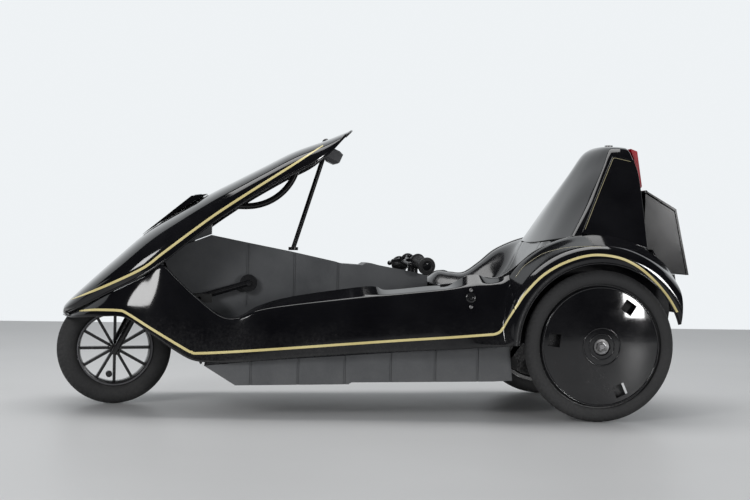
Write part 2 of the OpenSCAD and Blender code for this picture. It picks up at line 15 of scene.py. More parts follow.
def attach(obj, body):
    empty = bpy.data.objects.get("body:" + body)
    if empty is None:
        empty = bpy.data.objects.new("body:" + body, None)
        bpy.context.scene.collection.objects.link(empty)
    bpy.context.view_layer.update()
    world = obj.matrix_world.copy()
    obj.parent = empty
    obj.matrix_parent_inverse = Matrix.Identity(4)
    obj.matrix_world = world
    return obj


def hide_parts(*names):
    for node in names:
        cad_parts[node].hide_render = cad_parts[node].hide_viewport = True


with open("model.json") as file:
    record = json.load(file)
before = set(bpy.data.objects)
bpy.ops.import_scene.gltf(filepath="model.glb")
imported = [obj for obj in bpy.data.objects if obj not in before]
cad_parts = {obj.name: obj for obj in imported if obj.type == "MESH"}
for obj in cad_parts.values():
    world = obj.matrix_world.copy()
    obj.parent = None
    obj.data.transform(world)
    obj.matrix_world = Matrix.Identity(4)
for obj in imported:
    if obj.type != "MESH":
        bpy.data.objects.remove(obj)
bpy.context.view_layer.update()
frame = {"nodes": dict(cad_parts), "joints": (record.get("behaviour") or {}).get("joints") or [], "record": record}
nodes = frame["nodes"]
MM = 0.001

# %% [markdown]
# ## Surfaces
# A panel is a grid of points P(u, v). A shell is that grid and the same grid moved inward along its normals by the
# wall, joined round the rim, so every piece is closed and faces outward.

# %% surface tools
def rows(T, u):
    """Catmull-Rom curve through the rows of T at places u (0 .. len(T) - 1).
    p(t) = (2b + (c-a)t + (2a-5b+4c-d)t^2 + (3b-a-3c+d)t^3) / 2"""
    T = np.asarray(T, float); u = np.asarray(u, float); n = len(T)
    i = np.clip(np.floor(u).astype(int), 0, n - 2)
    sh = (-1,) + (1,) * (T.ndim - 1)
    t = (u - i).reshape(sh)
    b, c = T[i], T[i + 1]
    a = np.where((i > 0).reshape(sh), T[np.maximum(i - 1, 0)], 2 * b - c)
    d = np.where((i < n - 2).reshape(sh), T[np.minimum(i + 2, n - 1)], 2 * c - b)
    return 0.5 * (2 * b + (c - a) * t + (2 * a - 5 * b + 4 * c - d) * t ** 2 + (3 * b - a - 3 * c + d) * t ** 3)


def unit(v):
    return v / np.maximum(np.linalg.norm(v, axis=-1, keepdims=True), 1e-12)


def normals(A, wrap=False):
    """Unit normals of a grid: N = dP/du x dP/dv."""
    du = np.gradient(A, axis=0)
    dv = (np.roll(A, -1, 1) - np.roll(A, 1, 1)) / 2 if wrap else np.gradient(A, axis=1)
    return unit(np.cross(du, dv))


def resample(A, m):
    """Each row of the grid laid out again as m points at even spacing along its length."""
    seg = np.linalg.norm(np.diff(A, axis=1), axis=2)
    s = np.concatenate([np.zeros((len(A), 1)), np.cumsum(seg, 1)], 1)
    k = np.linspace(0, 1, m)
    return np.stack([np.stack([np.interp(k * s[i, -1], s[i], A[i, :, c]) for c in range(3)], -1) for i in range(len(A))])


def soften(A, times, axis=1, wrap=False):
    """Rounds the corners of a grid along one axis: P_i <- (P_i-1 + 2 P_i + P_i+1) / 4, ends kept."""
    A = A.copy()
    for _ in range(times):
        B = (np.roll(A, 1, axis) + 2 * A + np.roll(A, -1, axis)) / 4
        if not wrap:
            ends = [slice(None)] * 3
            ends[axis] = [0, -1]
            B[tuple(ends)] = A[tuple(ends)]
        A = B
    return A


def make(name, verts, faces, mat, body, replaces=(), smooth=35.0):
    """A mesh object from arrays of points and of triangles or quads, smooth below an edge angle in degrees."""
    me = bpy.data.meshes.new(name)
    faces = [np.asarray(f, int) for f in (faces if isinstance(faces, list) else [faces])]
    me.from_pydata(np.asarray(verts, float).tolist(), [], [r for f in faces for r in f.tolist()])
    me.validate()
    ob = bpy.data.objects.new(name, me)
    bpy.context.scene.collection.objects.link(ob)
    me.materials.append(mat)
    me.polygons.foreach_set("use_smooth", np.ones(len(me.polygons), bool))
    me.set_sharp_from_angle(angle=math.radians(smooth))
    if replaces:
        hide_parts(*replaces)
    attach(ob, body)
    return ob


def quads(n, m, off=0, wrap=False, flip=False):
    """Quads of an n by m grid of vertices numbered row by row from off."""
    i, j = np.meshgrid(np.arange(n - 1), np.arange(m if wrap else m - 1), indexing="ij")
    a, b = i * m + j, i * m + (j + 1) % m
    q = np.stack([a, a + m, b + m, b], -1).reshape(-1, 4) + off
    return q[:, ::-1] if flip else q


def shell(A, wall):
    """Closed sheet between the grid A (mm) and A - N wall, N being the outward normals."""
    n, m = A.shape[:2]
    B = A - normals(A) * wall
    k = n * m
    ring = np.concatenate([np.arange(m), np.arange(1, n) * m + m - 1, (n - 1) * m + np.arange(m - 2, -1, -1),
                           np.arange(n - 2, 0, -1) * m])
    nxt = np.roll(ring, -1)
    rim = np.stack([ring, nxt, nxt + k, ring + k], -1)
    V = np.concatenate([A.reshape(-1, 3), B.reshape(-1, 3)]) * MM
    return V, [quads(n, m), quads(n, m, k, flip=True), rim]


def tube(path, radius, sides=12, up=(0, 1, 0)):
    """Closed round tube: ring k is path(k) + r (cos a U + sin a W), U and W square to the path."""
    P = np.asarray(path, float); T = unit(np.gradient(P, axis=0))
    W = unit(np.cross(T, np.asarray(up, float))); U = np.cross(W, T)
    a = np.arange(sides) * 2 * np.pi / sides
    r = np.broadcast_to(np.asarray(radius, float), (len(P),))[:, None, None]
    G = P[:, None] + r * (np.cos(a)[None, :, None] * U[:, None] + np.sin(a)[None, :, None] * W[:, None])
    V = np.concatenate([G.reshape(-1, 3), P[:1], P[-1:]]) * MM
    n, k = len(P), len(P) * sides
    j = np.arange(sides); jn = (j + 1) % sides
    caps = np.concatenate([np.stack([np.full(sides, k), j, jn], -1),
                           np.stack([np.full(sides, k + 1), (n - 1) * sides + jn, (n - 1) * sides + j], -1)])
    return V, [quads(n, sides, wrap=True), caps]


def lathe(profile, centre, axis=(0, 1, 0), sides=96, wave=None, arc=None):
    """Solid of revolution: a closed profile of (radius, height) turned about an axis through centre.
    P(i, a) = c + h_i Z + r_i (cos a X + sin a Y); wave(r, h, a) may change the radius."""
    p = np.asarray(profile, float); Z = unit(np.asarray(axis, float))
    X = unit(np.cross(Z, (0.31, 0.2, 0.93) if abs(Z[2]) < 0.9 else (1, 0, 0))); Y = np.cross(Z, X)
    a = np.arange(sides) * 2 * np.pi / sides
    R = np.repeat(p[:, :1], sides, 1); H = np.repeat(p[:, 1:], sides, 1)
    if wave is not None:
        R = wave(R, H, a[None])
    G = (np.asarray(centre, float) + H[..., None] * Z + R[..., None]
         * (np.cos(a)[None, :, None] * X + np.sin(a)[None, :, None] * Y))
    n = len(p)
    if p[0, 0] < 1e-6:  # solid on the axis: one pole point at each end
        V = np.concatenate([G[1:-1].reshape(-1, 3), G[0, :1], G[-1, :1]]) * MM
        k = (n - 2) * sides; j = np.arange(sides); jn = (j + 1) % sides
        caps = np.concatenate([np.stack([np.full(sides, k), jn, j], -1),
                               np.stack([np.full(sides, k + 1), (n - 3) * sides + j, (n - 3) * sides + jn], -1)])
        return V, [quads(n - 2, sides, wrap=True, flip=True), caps]
    G = np.concatenate([G, G[:1]])
    V = G[:-1].reshape(-1, 3) * MM
    return V, [quads(n + 1, sides, wrap=True, flip=True) % (n * sides)]


print("surface tools ready")

# %% [markdown]
# ## Materials
# Two shared groups do the detail. **wear** gives a slow mask of uneven gloss and a mask of dust that gathers low
# down; **grain** gives a fine surface normal. Each material mixes its own shader from them in object coordinates.

# %% shared groups
def new_group(name, ins, outs):
    g = bpy.data.node_groups.new(name, "ShaderNodeTree")
    for n, kind, value in ins:
        s = g.interface.new_socket(n, in_out="INPUT", socket_type=kind)
        if value is not None:
            s.default_value = value
    for n, kind in outs:
        g.interface.new_socket(n, in_out="OUTPUT", socket_type=kind)
    return g, g.nodes.new("NodeGroupInput"), g.nodes.new("NodeGroupOutput")


def put(tree, kind, links=(), **props):
    n = tree.nodes.new(kind)
    for k, v in props.items():
        setattr(n, k, v)
    for socket, source in links:
        if hasattr(source, "node"):
            tree.links.new(source, n.inputs[socket])
        else:
            n.inputs[socket].default_value = source
    return n


wear, wi, wo = new_group("wear", [("Vector", "NodeSocketVector", None), ("Scale", "NodeSocketFloat", 9.0),
                                  ("Top", "NodeSocketFloat", 0.3)],
                         [("Uneven", "NodeSocketFloat"), ("Dust", "NodeSocketFloat"), ("Specks", "NodeSocketFloat")])
slow = put(wear, "ShaderNodeTexNoise", [("Vector", wi.outputs["Vector"]), ("Scale", wi.outputs["Scale"]),
                                        ("Detail", 5.0), ("Roughness", 0.6)])
fine = put(wear, "ShaderNodeTexNoise", [("Vector", wi.outputs["Vector"]), ("Scale", 160.0), ("Detail", 3.0)])
xyz = put(wear, "ShaderNodeSeparateXYZ", [("Vector", wi.outputs["Vector"])])
low = put(wear, "ShaderNodeMapRange", [("Value", xyz.outputs["Z"]), ("From Min", wi.outputs["Top"]),
                                       ("From Max", 0.02), ("To Min", 0.0), ("To Max", 1.0)])
patch = put(wear, "ShaderNodeMath", [(0, slow.outputs["Fac"]), (1, low.outputs["Result"])], operation="MULTIPLY")
both = put(wear, "ShaderNodeMath", [(0, patch.outputs[0]), (1, fine.outputs["Fac"])], operation="MULTIPLY")
dust = put(wear, "ShaderNodeMapRange", [("Value", both.outputs[0]), ("From Min", 0.04), ("From Max", 0.34)])
speck = put(wear, "ShaderNodeMapRange", [("Value", fine.outputs["Fac"]), ("From Min", 0.66), ("From Max", 0.74)])
uneven = put(wear, "ShaderNodeMapRange", [("Value", slow.outputs["Fac"]), ("From Min", 0.32), ("From Max", 0.68)])
wear.links.new(uneven.outputs["Result"], wo.inputs["Uneven"])
wear.links.new(dust.outputs["Result"], wo.inputs["Dust"])
wear.links.new(speck.outputs["Result"], wo.inputs["Specks"])

grain, gi, go = new_group("grain", [("Vector", "NodeSocketVector", None), ("Scale", "NodeSocketFloat", 300.0),
                                    ("Depth", "NodeSocketFloat", 0.1), ("Waviness", "NodeSocketFloat", 0.0)],
                          [("Normal", "NodeSocketVector")])
g1 = put(grain, "ShaderNodeTexNoise", [("Vector", gi.outputs["Vector"]), ("Scale", gi.outputs["Scale"]),
                                       ("Detail", 2.0)])
g2 = put(grain, "ShaderNodeTexNoise", [("Vector", gi.outputs["Vector"]), ("Scale", 14.0), ("Detail", 1.0)])
b1 = put(grain, "ShaderNodeBump", [("Strength", gi.outputs["Waviness"]), ("Distance", 0.004),
                                   ("Height", g2.outputs["Fac"])])
b2 = put(grain, "ShaderNodeBump", [("Strength", gi.outputs["Depth"]), ("Distance", 0.001),
                                   ("Height", g1.outputs["Fac"]), ("Normal", b1.outputs["Normal"])])
grain.links.new(b2.outputs["Normal"], go.inputs["Normal"])
print("groups", [g.name for g in bpy.data.node_groups])

# %% materials
def finish(name, colour, rough, metal=0.0, coat=0.0, scale=300.0, depth=0.1, wavy=0.0, dust_top=0.3, dusty=0.25,
           specks=0.0, second=None, uneven_scale=9.0, ior=1.5):
    """A material whose colour varies between two shades and whose roughness varies between rough[0] and rough[1]."""
    m = bpy.data.materials.new(name)
    m.use_nodes = True
    t = m.node_tree
    bsdf = next(n for n in t.nodes if n.type == "BSDF_PRINCIPLED")
    co = put(t, "ShaderNodeTexCoord")
    w = put(t, "ShaderNodeGroup", node_tree=wear)
    g = put(t, "ShaderNodeGroup", node_tree=grain)
    t.links.new(co.outputs["Object"], w.inputs["Vector"])
    t.links.new(co.outputs["Object"], g.inputs["Vector"])
    w.inputs["Scale"].default_value, w.inputs["Top"].default_value = uneven_scale, dust_top
    g.inputs["Scale"].default_value, g.inputs["Depth"].default_value = scale, depth
    g.inputs["Waviness"].default_value = wavy
    second = second or tuple(c * 1.35 + 0.002 for c in colour)
    shade = put(t, "ShaderNodeMix", [("Factor", w.outputs["Uneven"]), (6, (*colour, 1)), (7, (*second, 1))],
                data_type="RGBA")
    amount = put(t, "ShaderNodeMath", [(0, w.outputs["Dust"]), (1, dusty)], operation="MULTIPLY")
    marks = put(t, "ShaderNodeMath", [(0, w.outputs["Specks"]), (1, specks)], operation="MULTIPLY")
    total = put(t, "ShaderNodeMath", [(0, amount.outputs[0]), (1, marks.outputs[0])], operation="ADD", use_clamp=True)
    dirt = put(t, "ShaderNodeMix", [("Factor", total.outputs[0]), (6, shade.outputs[2]), (7, (0.21, 0.205, 0.2, 1))],
               data_type="RGBA")
    r = put(t, "ShaderNodeMapRange", [("Value", w.outputs["Uneven"]), ("To Min", rough[0]), ("To Max", rough[1])])
    r2 = put(t, "ShaderNodeMath", [(0, r.outputs["Result"]), (1, total.outputs[0])], operation="ADD", use_clamp=True)
    t.links.new(dirt.outputs[2], bsdf.inputs["Base Color"])
    t.links.new(r2.outputs[0], bsdf.inputs["Roughness"])
    t.links.new(g.outputs["Normal"], bsdf.inputs["Normal"])
    bsdf.inputs["Metallic"].default_value = metal
    bsdf.inputs["Coat Weight"].default_value = coat
    bsdf.inputs["Coat Roughness"].default_value = 0.03
    bsdf.inputs["IOR"].default_value = ior
    return m


M = {
    "black_body": finish("gloss_black", (0.004, 0.004, 0.005), (0.05, 0.11), coat=0.25, scale=700, depth=0.008,
                         wavy=0.02, dusty=0.16, specks=0.015, ior=1.43),
    "disc_black": finish("gloss_black_disc", (0.005, 0.005, 0.006), (0.05, 0.12), coat=0.3, scale=600, depth=0.012,
                         wavy=0.02, dust_top=0.42, dusty=0.05, specks=0.012),
    "satin_black": finish("black_moulding", (0.007, 0.007, 0.008), (0.12, 0.22), scale=520, depth=0.025, dusty=0.1,
                          ior=1.33),
    "seat_black": finish("seat_gloss", (0.006, 0.006, 0.007), (0.1, 0.2), coat=0.2, scale=520, depth=0.03, wavy=0.03),
    "grey_shell": finish("grey_plastic", (0.072, 0.075, 0.08), (0.4, 0.54), scale=520, depth=0.22, wavy=0.05,
                         dust_top=0.2, dusty=0.3, specks=0.05, second=(0.1, 0.103, 0.108)),
    "pod_grey": finish("pod_plastic", (0.09, 0.09, 0.095), (0.35, 0.5), scale=400, depth=0.15),
    "black_steel": finish("black_steel_paint", (0.007, 0.007, 0.008), (0.14, 0.26), scale=350, depth=0.015, dusty=0.15),
    "bright_steel": finish("plated_steel", (0.3, 0.3, 0.31), (0.26, 0.48), metal=1.0, scale=260, depth=0.12,
                           second=(0.17, 0.167, 0.163), dusty=0.1, uneven_scale=70.0),
    "dark_alloy": finish("cast_alloy", (0.16, 0.16, 0.17), (0.4, 0.6), metal=1.0, scale=200, depth=0.4),
    "battery_case": finish("battery_plastic", (0.05, 0.05, 0.055), (0.45, 0.6), scale=220, depth=0.2),
    "tyre_rubber": finish("worn_rubber", (0.016, 0.016, 0.017), (0.62, 0.86), scale=380, depth=0.35, dust_top=0.46,
                          dusty=0.14, specks=0.03, second=(0.026, 0.026, 0.027)),
    "pedal_plastic": finish("pedal_plastic", (0.012, 0.012, 0.012), (0.4, 0.55), scale=300, depth=0.2),
    "grip_rubber": finish("grip_rubber", (0.012, 0.012, 0.013), (0.42, 0.6), scale=600, depth=0.3),
    "lamp_glass": finish("lamp_lens", (0.35, 0.37, 0.39), (0.08, 0.16), scale=120, depth=0.3, wavy=0.4),
    "red_lens": finish("red_lens", (0.34, 0.0, 0.008), (0.22, 0.32), scale=240, depth=0.12,
                       second=(0.46, 0.002, 0.015), dusty=0.0, ior=1.25),
    "gold_paint": finish("gold_paint", (0.66, 0.55, 0.23), (0.26, 0.4), coat=0.2, scale=420, depth=0.03,
                         second=(0.76, 0.66, 0.32), dusty=0.06),
    "pale_line": finish("thin_line_paint", (0.3, 0.27, 0.16), (0.3, 0.45), coat=0.2, scale=420, depth=0.08,
                        second=(0.4, 0.36, 0.22), dusty=0.1),
}
slots = {s["node"]: s["material_slot"] for s in frame["record"]["subparts"]}
for name, ob in nodes.items():
    ob.data.materials.clear()
    ob.data.materials.append(M["seat_black"] if name == "seat" else M[slots[name]])
    ob.data.polygons.foreach_set("use_smooth", np.ones(len(ob.data.polygons), bool))
    ob.data.set_sharp_from_angle(angle=math.radians(32))
print(len(M), "materials on", len(nodes), "nodes")

# %% [markdown]
# Plain CAD solids get a small rounded edge, as moulded and cast parts have, so that their edges catch the light.

# %% edges
def rounded(names, width, segments=2, angle=38):
    for name in names:
        ob = nodes[name]
        bv = ob.modifiers.new("edge", "BEVEL")
        bv.width, bv.segments, bv.limit_method = width * MM, segments, "ANGLE"
        bv.angle_limit, bv.use_clamp_overlap, bv.harden_normals = math.radians(angle), True, True


rounded(["spine_cover", "lower_shell", "head_cowl"], 3.0, 3)
rounded(["boot_box", "boot_lid", "rear_skirt", "back_panel", "lamp_panel", "tail_lamp", "mirror_pod"], 1.6)
rounded(["pedal_left", "pedal_right", "battery"], 1.5)
print("edges rounded")

# %% [markdown]
# ## Hood
# The crown line and the two edge lines come from one table; a section between them is a superellipse,
# y = w sin(a)^0.72 and drop = 1 - cos(a)^0.72. The angle is spaced as |v|^1.39 so that points stay even.

# %% hood
HOOD = [
    [868, 266, 846, 262, 96], [856, 287, 815, 277, 150], [800, 341, 740, 317, 205],
    [722, 413, 662, 357, 234], [643, 483, 592, 403, 241], [560, 539, 527, 457, 234],
    [471, 594, 460, 512, 226], [395, 635, 401, 554, 219], [320, 675, 345, 592, 210],
    [235, 720, 253, 647, 196], [150, 753, 163, 696, 178], [72, 786, 96, 762, 150]]
u = np.linspace(0, len(HOOD) - 1, 111)
v = np.linspace(-1, 1, 81)
h = rows(HOOD, u)[:, None, :]
a = np.radians(90) * np.abs(v)[None] ** 1.39
y, d = np.sin(a) ** 0.72, 1 - np.clip(np.cos(a), 0, 1) ** 0.72
hood_grid = np.stack([h[..., 0] + (h[..., 2] - h[..., 0]) * d, np.sign(v) * h[..., 4] * y,
                      h[..., 1] + (h[..., 3] - h[..., 1]) * d], -1)


def outward(A, towards):
    """The grid with its rows reversed if needed, so that its normals point towards the given direction."""
    return A if (normals(A) * np.asarray(towards, float)).sum() > 0 else A[::-1]


hood_grid = outward(hood_grid, (0, 0, 1))
hood = make("hood_skin", *shell(hood_grid, 4.0), M["black_body"], "body", ["hood"], 50)
hood_n = normals(hood_grid)
for side, j in (("right", 0), ("left", -1)):
    make("hood_bead_" + side, *tube(hood_grid[:, j] - hood_n[:, j] * 2, 3.8, 16), M["black_body"], "body")
nose = int(np.argmin(hood_grid[:, 40, 2]))
make("hood_nose_bead", *tube(hood_grid[nose] - hood_n[nose] * 2 - [3.0, 0, 3.2], 4.6, 16, up=(1, 0, 0)),
     M["black_body"], "body")
make("hood_tip_bead", *tube(hood_grid[np.argmax(hood_grid[:, 40, 2])] + [2.6, 0, -3.6], 3.2, up=(1, 0, 0)),
     M["black_body"], "body")
knob = lathe([[0, 0], [9, 0], [9.5, 2], [8, 5], [5, 7], [0, 8]], (142, 0, 755.5), (0.42, 0, 0.9), 32)
make("hood_stud", *knob, M["black_steel"], "body")
print("hood", len(hood.data.polygons), "faces")

# %% [markdown]
# ## Body sides
# Each row gives a section: lower lip, side, rounded shoulder and the flange inside the cockpit. Over the last
# stretch the section swells out to the wheel arch's own section, so that side and arch read as one panel.

# %% body sides
SIDE = [
    [868, 0, 0, 256, 250, 2, 1, 4], [862, 52, 52, 256, 250, 2, 1, 4], [846, 96, 100, 255, 249, 3, 1, 6],
    [815, 150, 158, 269, 251, 5, 1, 8], [740, 205, 222, 312, 258, 6, 1, 8], [683, 227, 250, 341, 257, 6, 1, 8],
    [629, 238, 268, 368, 226, 6, 2, 8], [590, 242, 277, 396, 200, 8, 2, 8], [552, 250, 284, 366, 174, 10, 0, 8],
    [500, 260, 292, 318, 148, 12, 0, 8], [435, 276, 299, 268, 144, 14, 2, 9], [388, 284, 303, 262, 146, 18, 4, 12],
    [330, 290, 307, 284, 150, 34, 12, 16], [240, 298, 313, 299, 159, 46, 22, 22],
    [68, 308, 321, 320, 173, 50, 28, 30], [20, 311, 324, 326, 176, 50, 24, 33],
    [-10, 313, 326, 330, 178, 50, 12, 35], [-120, 320, 332, 342, 184, 50, 12, 41],
    [-175, 323, 337, 349, 187, 50, 10, 46], [-215, 326, 341, 354, 190, 50, 26, 50],
    [-250, 325, 347, 358, 193, 46, 29, 56], [-281, 320, 357, 362, 196, 40, 16, 66],
    [-314, 308, 369, 366, 199, 28, 14, 78], [-334, 298, 371, 374, 203, 17, 14, 80]]
AXLE = np.array([-576.0, 203.0])
ARCH_FRONT = -337.4
ARCH_R = [222, 225, 244, 258, 267, 300]
ARCH_Y = [370, 372, 372, 368, 356, 277]


def arch_y(x, z):
    """Distance of the arch's outer skin from the centre plane, from the radius about the axle."""
    return np.interp(np.hypot(x - AXLE[0], z - AXLE[1]), ARCH_R, ARCH_Y)


def side_grid():
    r = rows(SIDE, np.linspace(0, len(SIDE) - 1, 231))[:, None, :]
    v = np.concatenate([np.linspace(0, 0.1, 5)[:-1], np.linspace(0.1, 0.8, 45)[:-1], np.linspace(0.8, 1, 9)])[None]
    lip, k = np.clip(0.1 - v, 0, 1) / 0.1, np.clip((v - 0.1) / 0.7, 0, 1)
    f = np.clip(v - 0.8, 0, 1) / 0.2
    x = r[..., 0] - 2 * f - 4.5 * np.clip((-300 - r[..., 0]) / 34, 0, 1)
    z = r[..., 4] + (r[..., 3] - r[..., 4]) * k
    y = r[..., 2] + (r[..., 1] - r[..., 2]) * k + 5 * np.sin(np.pi * k) * np.minimum(r[..., 1] / 100, 1)
    t = np.clip((-265 - r[..., 0]) / 69, 0, 1)
    t = t * t * (3 - 2 * t)
    y = y + (np.maximum(arch_y(np.minimum(x, -300), z), y) - y) * t * np.sin(np.pi * np.clip(k, 0, 1)) ** 0.35
    G = np.stack([x, np.maximum(y - r[..., 5] * f - r[..., 7] * lip, 0), z + r[..., 6] * f + 3 * lip], -1)
    G = soften(resample(G, 64), 3)
    G[0, :, 1] = 0
    return G


left = side_grid()
right = left * [1, -1, 1]
around = np.concatenate([left[:0:-1], right])
flat = outward(around[:200], (0, 1, 0))
around = around if np.allclose(flat[0], around[0]) else around[:, ::-1]
sides = make("body_sides", *shell(around, 4.0), M["black_body"], "body", ["body_shell"], 50)
print("body sides", len(sides.data.polygons), "faces")

# %% [markdown]
# ## Wheel arches
# The arch is a section (radius, y) turned about the rear axle. Its front edge lies on the plane where the side
# ends, and its rear edge on the sloping line of the tail, so the turn angle of each edge depends on the radius.

# %% wheel arches
def arch_grid(s):
    R0 = np.array([222, 222, 225, 244, 258, 267, 284, 300, 298.0])
    Y0 = np.array([364, 370, 371.4, 371.4, 368, 356, 314, 277, 274.0])
    sec = soften(resample(np.stack([R0, Y0, 0 * R0], -1)[None], 60), 12)[0]
    R, Y = sec[:, 0], sec[:, 1]
    front = np.degrees(np.arccos(np.clip((ARCH_FRONT - AXLE[0]) / R, -1, 1)))
    front = np.where(R * 1.0 <= ARCH_FRONT - AXLE[0], 0.0, front)
    rear = np.minimum(np.interp(R, [220.2, 240.4, 281, 316], [166.3, 156.2, 137.2, 122.3]), 164)
    t = np.linspace(0, 1, 121)[:, None]
    th = np.radians(front[None] + (rear - front)[None] * t)
    return np.stack([AXLE[0] + R * np.cos(th), s * np.broadcast_to(Y, th.shape), AXLE[1] + R * np.sin(th)], -1)


arches = {}
for name, s in (("left", 1), ("right", -1)):
    G = arch_grid(s)
    # outward means away from the centre plane on this side
    G = G if (normals(G)[..., 1] * s).sum() > 0 else G[::-1]
    arches[s] = G
    make("arch_" + name, *shell(G, 4.0), M["black_body"], "body", ["guard_" + name], 50)
    lip = G[:, np.argmin(np.hypot(G[60, :, 0] - AXLE[0], G[60, :, 2] - AXLE[1]))]
    make("arch_bead_" + name, *tube(lip + [0, -2.0 * s, 0], 3.0, 16), M["black_body"], "body")
print("arches", arches[1].shape)

# %% [markdown]
# ## Seat, tower and fins

# %% seat and tower
SEAT = [
    [-154, 360, -154, 358], [-176, 344, -195, 364], [-216, 328, -230, 383], [-270, 320, -270, 380],
    [-330, 326, -314, 380], [-385, 352, -361, 411], [-425, 400, -408, 450], [-450, 448, -462, 477],
    [-466, 479, -518, 496]]
u = np.linspace(0, len(SEAT) - 1, 81)
v = np.linspace(-1, 1, 97)
r = rows(SEAT, u)[:, None, :]
k = np.clip((np.abs(v) - 0.5) / 0.45, 0, 1)[None]
k = k * k * (3 - 2 * k)
crease = 2.2 * np.exp(-((np.abs(v)[None] - 0.42) / 0.02) ** 2) * np.clip((u[:, None] - 1.5) / 1, 0, 1)
seat_grid = np.stack([r[..., 0] + (r[..., 2] - r[..., 0]) * k + 0 * v, np.broadcast_to(v * 271.5, (81, 97)),
                      r[..., 1] + (r[..., 3] - r[..., 1]) * k - crease], -1)
seat_grid = outward(seat_grid, (0.4, 0, 1))
make("seat_shell", *shell(seat_grid, 4.0), M["seat_black"], "body", ["seat"], 50)

TOWER = [
    [[-463, 0, 487], [-469, 104, 489], [-484, 184, 494], [-520, 274, 502], [-540, 272, 503], [-640, 270, 490],
     [-728, 264, 466], [-746, 204, 466], [-748, 0, 466]],
    [[-521, 0, 592], [-529, 78, 592], [-546, 144, 594], [-585, 212, 600], [-600, 214, 600], [-670, 212, 590],
     [-732, 208, 575], [-748, 162, 575], [-752, 0, 575]],
    [[-579, 0, 682], [-588, 58, 682], [-606, 112, 684], [-630, 166, 688], [-644, 167, 688], [-686, 166, 680],
     [-730, 164, 672], [-742, 124, 672], [-746, 0, 672]],
    [[-614, 0, 734], [-622, 52, 735], [-636, 100, 734], [-651, 138, 730], [-664, 138, 730], [-690, 138, 728],
     [-721, 134, 726], [-732, 100, 726], [-735, 0, 726]],
    [[-639.6, 0, 754], [-644.6, 46, 754], [-653.6, 86, 753], [-663.6, 116, 750], [-672, 116, 750],
     [-692, 116, 750], [-713.4, 112, 749], [-720.4, 82, 750], [-722.4, 0, 751]],
    [[-661.6, 0, 759], [-663.6, 32, 759], [-667.6, 58, 758], [-673.6, 78, 757], [-680, 78, 757], [-692, 78, 757],
     [-704.4, 76, 756], [-708.4, 52, 757], [-709.4, 0, 758]],
    [[-679.6, 0, 760], [-680.6, 10, 760], [-681.6, 16, 760], [-682.6, 20, 760], [-686, 20, 760], [-688, 20, 760],
     [-692.4, 20, 760], [-693.4, 12, 760], [-694.4, 0, 760]]]
T = np.asarray(TOWER, float)
front = np.concatenate([T[:, 3:0:-1] * [1, -1, 1], T[:, :4]], 1)           # from side to side across the front
front = rows(front.transpose(1, 0, 2), np.linspace(0, 6, 121)).transpose(1, 0, 2)
back = np.concatenate([T[:, 3:], T[:, 7:2:-1] * [1, -1, 1]], 1)
ring = np.concatenate([front[:, :-1], resample(back, 141)[:, :-1]], 1)
ring = rows(ring.reshape(len(T), -1), np.linspace(0, len(T) - 1, 73)).reshape(73, -1, 3)
ring = soften(ring, 5, wrap=True)
foot = ring[0] + unit(ring[0] - ring[1]) * 9.0
ring = np.concatenate([foot[None], ring])
N = normals(ring, wrap=True)
if (N[:, :, 0] * (ring[:, :, 0] + 640)).sum() < 0:
    ring = ring[:, ::-1]
    N = normals(ring, wrap=True)
n, m = ring.shape[:2]
inner = ring - N * 4
tip = ring[-1].mean(0) + [0, 0, 0.6]
V = np.concatenate([ring.reshape(-1, 3), inner.reshape(-1, 3), [tip, tip - [0, 0, 4.6]]]) * MM
kk = n * m
j = np.arange(m); jn = (j + 1) % m
F = [quads(n, m, wrap=True), quads(n, m, kk, wrap=True, flip=True), np.stack([j, jn, jn + kk, j + kk], -1),
     np.concatenate([np.stack([(n - 1) * m + j, 2 * kk + 0 * j, (n - 1) * m + jn], -1),
                     np.stack([kk + (n - 1) * m + jn, 2 * kk + 1 + 0 * j, kk + (n - 1) * m + j], -1)])]
make("tower_skin", V, F, M["black_body"], "body", ["tower"], 60)
for name, jj in (("right", 0), ("left", -1)):
    make("seat_bead_" + name, *tube(seat_grid[:, jj] - normals(seat_grid)[:, jj] * 2, 4.6, 16), M["seat_black"], "body")

FIN = [
    [[-659, 143.5, 723], [-690, 143, 720], [-722, 140, 716]], [[-639, 167.6, 689], [-686, 166, 680], [-730, 164, 672]],
    [[-593, 213.0, 602], [-670, 212, 590], [-732, 208, 575]], [[-541, 271.0, 505], [-640, 270, 490], [-728, 264, 466]]]
fins = {}
for name, s in (("left", 1), ("right", -1)):
    G = rows(np.asarray(FIN, float).reshape(4, -1), np.linspace(0, 3, 61)).reshape(61, 3, 3)
    G = resample(G, 41) * [1, s, 1] + [0, s * 6.5, 1]
    G = G if (normals(G)[..., 1] * s).sum() > 0 else G[::-1]
    fins[s] = G
    fin = make("fin_skin_" + name, *shell(G, 5.0), M["black_body"], "body", ["fin_" + name], 50)
    bv = fin.modifiers.new("edge", "BEVEL")
    bv.width, bv.segments, bv.limit_method, bv.angle_limit = 0.0022, 3, "ANGLE", math.radians(50)
print("seat, tower", ring.shape, "and fins")

# %% [markdown]
# ## Gold stripes
# A stripe is a thin raised ribbon laid on a panel. `follow` finds the place (i, j) on the panel's grid where its X
# and Z are the wanted ones, by Newton steps on the bilinear patches, and returns the point and the normal there.

